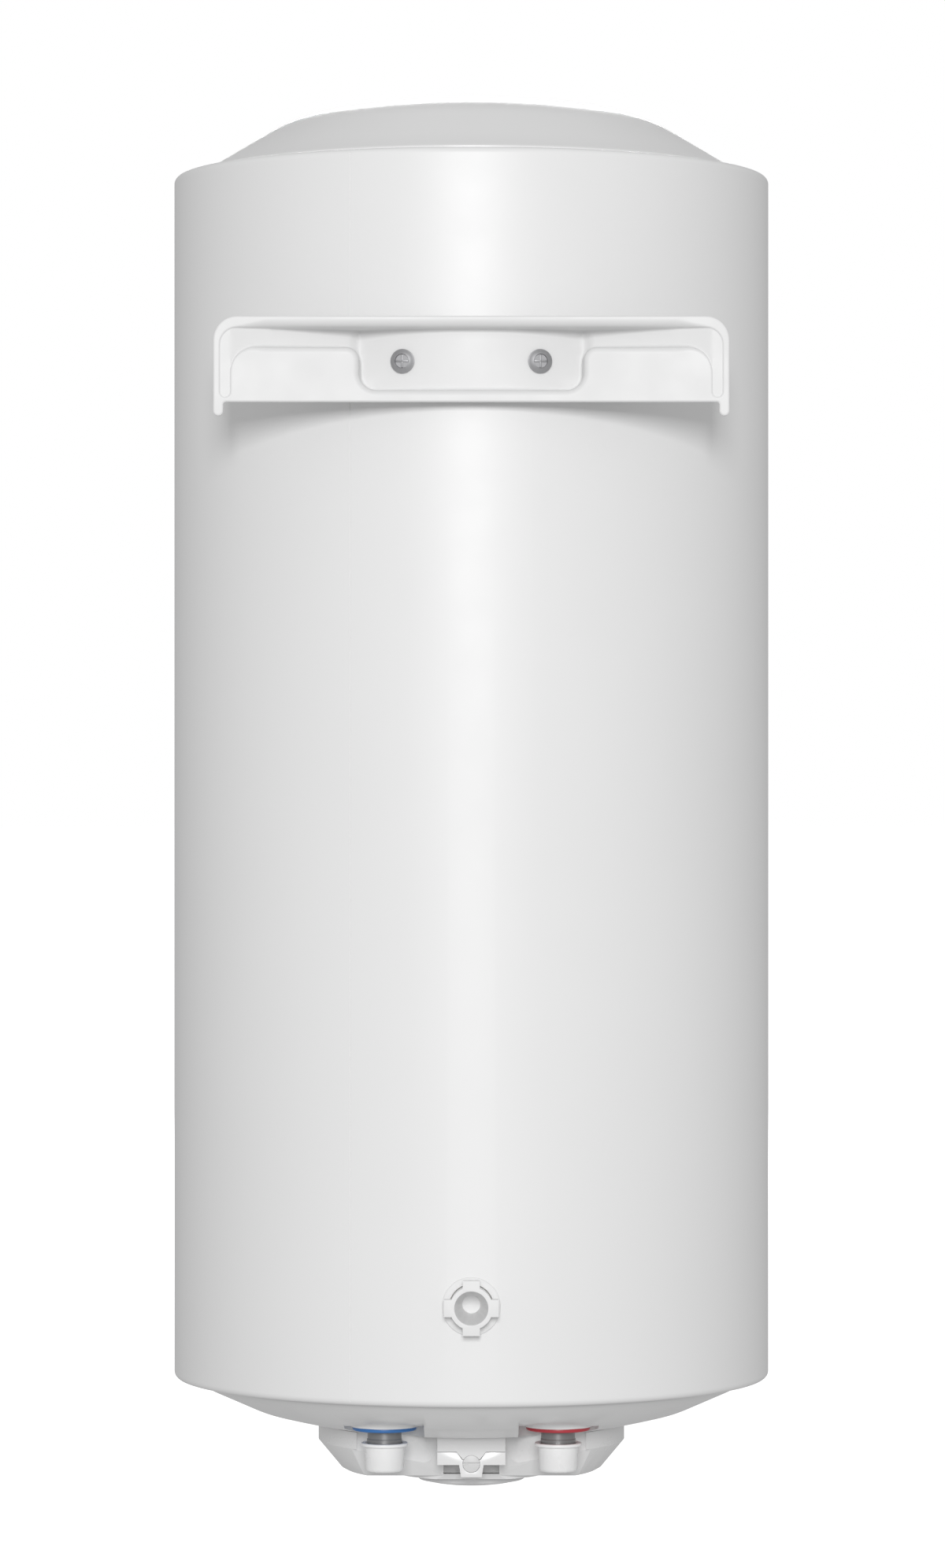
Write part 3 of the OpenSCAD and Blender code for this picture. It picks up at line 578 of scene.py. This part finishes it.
def thread_cap(node):
    """A cup turned from its cut face: rounded base, rolled rim, and the spigot inside."""
    low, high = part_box(node)
    x = (low.x + high.x) / 2
    y = (low.y + high.y) / 2
    z = low.z
    outline = [(0, z), (0.0098, z)] + arc((0.0098, z + 0.0020), 0.0020, -90, -6, 8)
    outline += [(0.01195, z + 0.0145)] + arc((0.01245, z + 0.0147), 0.0005, 180, 90, 3)
    outline += arc((0.01355, z + 0.01575), 0.00055, -90, 0, 5)
    outline += arc((0.01355, z + 0.01665), 0.00055, 0, 90, 5)
    outline += arc((0.0117, z + 0.0168), 0.0004, 90, 180, 3)
    outline += [(0.0114, z + CAP_BASE), (SPIGOT_OUT, z + CAP_BASE), (SPIGOT_OUT, z + 0.0076),
                (0.0076, z + 0.0080), (SPIGOT_IN, z + 0.0080), (SPIGOT_IN, z + CAP_BASE),
                (0, z + CAP_BASE)]
    return turned(outline, (x, y), 96)


polythene = finish("polythene", (0.88, 0.88, 0.88), 0.30, 0.0009, 0.000012, mottle=0.015)
cap_inputs = polythene.node_tree.nodes["Principled BSDF"].inputs
cap_inputs["Subsurface Weight"].default_value = 0.25
cap_inputs["Subsurface Radius"].default_value = (0.003, 0.003, 0.003)
cap_inputs["Subsurface Scale"].default_value = 0.6
for name, node in (("cold_cap", "cold_thread_cap"), ("hot_cap", "hot_thread_cap")):
    piece(name, thread_cap(node), polythene, "cap_plastic", node, node)

# ---- Wall bracket ----
# One pressing in 2.5 mm steel sheet, painted white: a wide plate with a pressed-in band,
# two end legs and a deeper tongue that lies against the casing under the screws.
PLATE_TOP = 0.0463
PLATE_LOW = -0.00375
HALF_WIDTH = 0.150
BRACKET_SHEET = 0.0025
TONGUE_R = casing_r + 0.0001 + BRACKET_SHEET
FLOOR_BEND = 0.0022
EDGE_DROP = 0.0005
FLAT_EDGE = 0.0013
BRACKET_HOLE_R = 0.0045
HOLE_STEPS = 28
RINGS = (-0.0055, -0.0050, -0.0044, -0.0040, -0.0035, -0.0029, -0.0023, -0.0017, -0.0011,
         -0.0006, -0.0002, 0.00002, 0.00025, 0.0006, 0.0011, 0.0016, FLOOR_BEND)
GRID_ROWS = (0.0035, 0.007, 0.0105, 0.014, 0.0175, 0.021, 0.0245, 0.028, 0.031, 0.0335)
GRID_HALF = 0.1445
GRID_STEP = 0.0020
OFF_THE_SHEET = Vector((1.0, 1.0))


def smooth_run(points, step):
    """Fills a closed line with points no further apart than step."""
    filled = []
    for a, b in zip(points, points[1:] + points[:1]):
        length = math.dist(a, b)
        n = max(int(length / step + 0.999), 1)
        filled += [(a[0] + (b[0] - a[0]) * i / n, a[1] + (b[1] - a[1]) * i / n) for i in range(n)]
    return filled


def plate_half(g=0.0):
    """Right half of the plate's edge drawn in by g, from the middle of the top to the bottom."""
    right = [(0, PLATE_TOP - g)] + arc((HALF_WIDTH - 0.014, PLATE_TOP - 0.014), 0.014 - g, 90, 0, 14)
    right += arc((HALF_WIDTH - 0.003, -0.0088), 0.003 - g, 0, -180, 12)
    right += arc((HALF_WIDTH - 0.0075, PLATE_LOW - 0.0015), 0.0015 + g, 0, 90, 5)
    return right + [(0, PLATE_LOW + g)]


def recess_half(g):
    """Right half of the pressed recess's edge, grown by g."""
    right = [(0, 0.0396 + g)] + arc((0.136, 0.0296), 0.010 + g, 90, 0, 12)
    right += arc((0.143, 0.0022), 0.003 + g, 0, -180, 12)
    right += arc((0.125, 0.0135), 0.015 - g, 0, 90, 12)
    right += arc((0.073, 0.0205), 0.008 - g, 90, 180, 10)
    right += arc((0.055, 0.0135), 0.010 + g, 0, -90, 10)
    return right + [(0, 0.0035 - g)]


def both_halves(right):
    """The whole closed line from its right half."""
    return right + [(-x, z) for x, z in right[-2:0:-1]]


def floor_depth(x):
    """How far the pressed floor lies in front of the wall plane at x."""
    a = abs(x)
    tongue = math.sqrt(TONGUE_R ** 2 - min(a, 0.066) ** 2) + axis_y
    band = -0.0006 - 0.0184 * max(0.140 - a, 0) / 0.070
    if a >= 0.0705:
        return band
    if a <= 0.0645:
        return tongue
    t = (a - 0.0645) / 0.006
    t = t * t * (3 - 2 * t)
    return tongue * (1 - t) + band * t


def bend(x, z):
    """Outer bend radius of the pressing: generous along the top strip, tighter elsewhere."""
    top = min(max((z - 0.034) / 0.004, 0), 1) * min(max((0.137 - abs(x)) / 0.012, 0), 1)
    return 0.0038 + 0.0012 * top


def pressed(x, z, g):
    """Depth of the sheet at a point that lies g inside the recess's edge."""
    whole = -floor_depth(x)
    r = bend(x, z) * min(max(whole / 0.006, 0.22), 1)
    start = -r if whole >= r else -math.sqrt(2 * r * whole - whole ** 2)
    if g <= 0:
        into = min(max(g - start, 0), r)
        return -min(r - math.sqrt(r * r - into * into), whole)
    inner = min(FLOOR_BEND, max(whole - r, 0.0001))
    into = max(inner - g, 0)
    return -(whole - (inner - math.sqrt(inner * inner - into * into)))


def bracket_front():
    """The pressed sheet's wall-side skin, meshed flat and then given its depth."""
    points = []
    depths = []
    edges = []
    flat_edge = [Vector(p) for p in both_halves(plate_half(FLAT_EDGE))]
    lines = [(plate_half(g), None) for g in (0.0, EDGE_DROP, FLAT_EDGE)]
    lines += [(recess_half(-g), g) for g in RINGS]
    for k, (line, g) in enumerate(lines):
        ring = smooth_run(both_halves(line), 0.0016)
        start = len(points)
        kept = [g is None or inside(flat_edge, x, z, 0) for x, z in ring]
        points += [Vector(p) if keep else OFF_THE_SHEET for p, keep in zip(ring, kept)]
        if g is None:
            depths += [-EDGE_DROP if k == 0 else 0.0] * len(ring)
        else:
            depths += [pressed(x, z, g) for x, z in ring]
        for i in range(len(ring)):
            after = (i + 1) % len(ring)
            if kept[i] and kept[after]:
                edges.append((start + i, start + after))
    inner = [Vector(p) for p in ring]
    x = -GRID_HALF
    while x < GRID_HALF:
        for z in GRID_ROWS:
            if inside(inner, x, z, 0.0010):
                points.append(Vector((x, z)))
                depths.append(floor_depth(x))
        x += GRID_STEP
    for side in (-1, 1):
        base = len(points)
        for k in range(HOLE_STEPS):
            turn = 2 * math.pi * k / HOLE_STEPS
            x = side * SCREW_X + BRACKET_HOLE_R * math.cos(turn)
            z = SCREW_Z + BRACKET_HOLE_R * math.sin(turn)
            points.append(Vector((x, z)))
            depths.append(floor_depth(x))
            edges.append((base + k, base + (k + 1) % HOLE_STEPS))
    flat, _, faces, origin, _, _ = delaunay_2d_cdt(points, edges, [], 0, 1e-7, True)
    work = bmesh.new()
    verts = []
    for k, p in enumerate(flat):
        depth = min((depths[i] for i in origin[k]), default=0.0)
        verts.append(work.verts.new((p.x, depth, p.y)))
    edge_ring = [Vector(p) for p in both_halves(plate_half())]
    for face in faces:
        cx = sum(flat[i].x for i in face) / len(face)
        cz = sum(flat[i].y for i in face) / len(face)
        in_hole = any(math.hypot(cx - side * SCREW_X, cz - SCREW_Z) < BRACKET_HOLE_R - 0.00005
                      for side in (-1, 1))
        if inside(edge_ring, cx, cz, 0) and not in_hole:
            work.faces.new([verts[i] for i in face])
    for vert in [v for v in work.verts if not v.link_faces]:
        work.verts.remove(vert)
    return work


def inside(ring, x, z, margin):
    """Whether a point lies inside a closed line and at least margin from it."""
    hit = False
    for a, b in zip(ring, ring[1:] + ring[:1]):
        if (a.y > z) != (b.y > z) and x < a.x + (z - a.y) / (b.y - a.y) * (b.x - a.x):
            hit = not hit
        if margin and math.hypot(a.x - x, a.y - z) < margin:
            return False
    return hit


def thickened(work, depth):
    """Gives the pressed skin its sheet thickness, on the heater side."""
    bmesh.ops.recalc_face_normals(work, faces=work.faces)
    if sum(f.normal.y * f.calc_area() for f in work.faces) < 0:
        bmesh.ops.reverse_faces(work, faces=work.faces)
    rim = [e for e in work.edges if len(e.link_faces) == 1]
    copy = {}
    for v in list(work.verts):
        copy[v] = work.verts.new((v.co.x, v.co.y - depth, v.co.z))
    for f in list(work.faces):
        work.faces.new([copy[v] for v in reversed(f.verts)])
    for e in rim:
        a, b = e.verts
        work.faces.new((b, a, copy[a], copy[b]))
    return work


bracket_paint = finish("bracket_paint", (0.755, 0.755, 0.755), 0.48, 0.0016, 0.000014, mottle=0.012)
piece("bracket_pressing", thickened(bracket_front(), BRACKET_SHEET), bracket_paint, "bracket_paint",
      "root", "wall_bracket", crease=50)

# ---- Bracket screws ----
# Two zinc-plated screws with a low round head and a cross recess, driven square to the
# curved sheet, through bracket and casing, into threaded posts welded on the tank.
HEAD_R = 0.0071
RECESS_R = 0.0042
SHANK_R = 0.0039
SHANK_END = -0.024
CROWN_R = 0.0119
CROWN_CENTRE = -0.0085


def screw_head():
    """One screw standing on the origin, head up."""
    outline = [(0, SHANK_END), (SHANK_R - 0.0006, SHANK_END), (SHANK_R, SHANK_END + 0.0008)]
    outline += [(SHANK_R, 0), (HEAD_R - 0.0003, 0), (HEAD_R, 0.0004), (HEAD_R, 0.0012)]
    crown = arc((0, CROWN_CENTRE), CROWN_R, 0, 90, 40)
    outline += [(r, h) for r, h in crown if RECESS_R + 0.0002 < r < HEAD_R - 0.0003]
    rim_h = math.sqrt(CROWN_R ** 2 - RECESS_R ** 2) + CROWN_CENTRE
    outline += [(RECESS_R, rim_h), (RECESS_R - 0.0003, rim_h - 0.0011), (0, rim_h - 0.0011)]
    work = turned(outline, (0, 0), 64)
    for quarter in (0, 1):
        bar = bmesh.new()
        bmesh.ops.create_cube(bar, size=1.0, matrix=Matrix.Diagonal((0.0077, 0.0011, 0.0012, 1)))
        bmesh.ops.bevel(bar, geom=bar.edges[:], offset=0.0002, segments=2, profile=0.5, affect="EDGES")
        bar.transform(Matrix.Translation((0, 0, rim_h - 0.0010))
                      @ Matrix.Rotation(math.pi / 2 * quarter, 4, "Z"))
        extra = bpy.data.meshes.new("bar")
        bar.to_mesh(extra)
        bar.free()
        work.from_mesh(extra)
        bpy.data.meshes.remove(extra)
    return work


screws = bmesh.new()
lean = math.asin(SCREW_X / TONGUE_R)
for side in (-1, 1):
    one = screw_head()
    foot = (side * SCREW_X, math.sqrt(TONGUE_R ** 2 - SCREW_X ** 2) + axis_y + 0.0001, SCREW_Z)
    one.transform(Matrix.Translation(foot) @ Matrix.Rotation(-side * lean, 4, "Z")
                  @ Matrix.Rotation(math.radians(-90), 4, "X"))
    spare = bpy.data.meshes.new("screw")
    one.to_mesh(spare)
    one.free()
    screws.from_mesh(spare)
    bpy.data.meshes.remove(spare)
screw_steel = finish("screw_steel", (0.40, 0.40, 0.41), 0.50, 0.0004, 0.00001, metal=0.7, mottle=0.08)
piece("cross_screws", screws, screw_steel, "screw_steel", "root", "bracket_screws")
coat_nodes(mill_steel, "bracket_posts")

# ---- Rear spacer ----
# A white moulded spacer with four wings and a tapered hollow, screwed in or out to reach
# the wall. It runs in a moulded seat in the casing with a threaded bush behind.
spacer_plastic = finish("spacer_plastic", (0.78, 0.78, 0.78), 0.55, 0.0009, 0.00001, mottle=0.012)
piece("spacer_ring", softened("spacer_seat", 0.0004), spacer_plastic, "spacer_plastic", "root",
      "spacer_seat")
piece("winged_spacer", softened("rear_spacer", 0.0005, 3), spacer_plastic, "spacer_plastic",
      "rear_spacer", "rear_spacer")
coat_nodes(natural_plastic, "spacer_bush")
